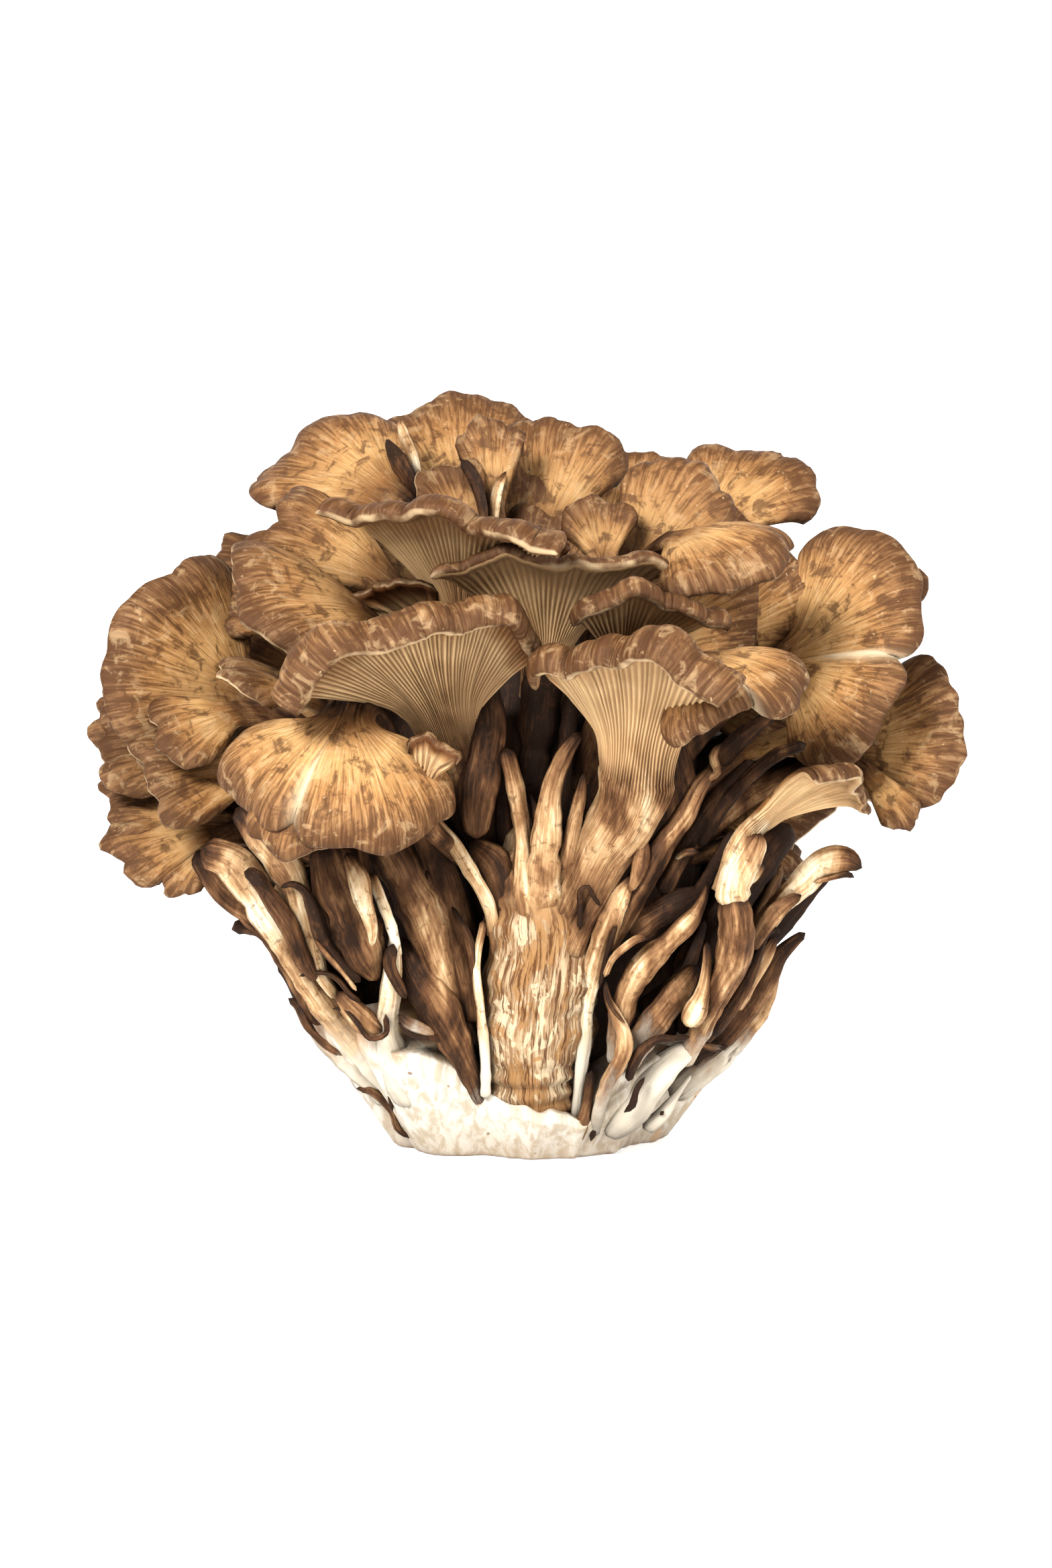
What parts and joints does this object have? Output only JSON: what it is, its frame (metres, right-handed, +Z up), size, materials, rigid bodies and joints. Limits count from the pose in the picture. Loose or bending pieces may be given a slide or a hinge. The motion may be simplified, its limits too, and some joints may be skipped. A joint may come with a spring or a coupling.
{
  "type": "maitake mushroom",
  "caption": "Whole head of maitake: a white cut base and a dense cluster of waved brown fronds with gilled undersides.",
  "frame": {"origin": "centre of the cut face under the base", "axes": "+Z up through the head, -Y towards the side that shows the gilled fronds and the trunk, +X to that viewer's right"},
  "size_m": [0.2155, 0.1936, 0.1859],
  "materials": {
    "base_flesh": "white fibrous mushroom flesh with ochre stains",
    "fronds": "matte brown mushroom skin with radial streaks, pale below"
  },
  "bodies": {
    "root": {"cut_base": "base_flesh", "frond_cluster": "fronds"}
  },
  "joints": []
}
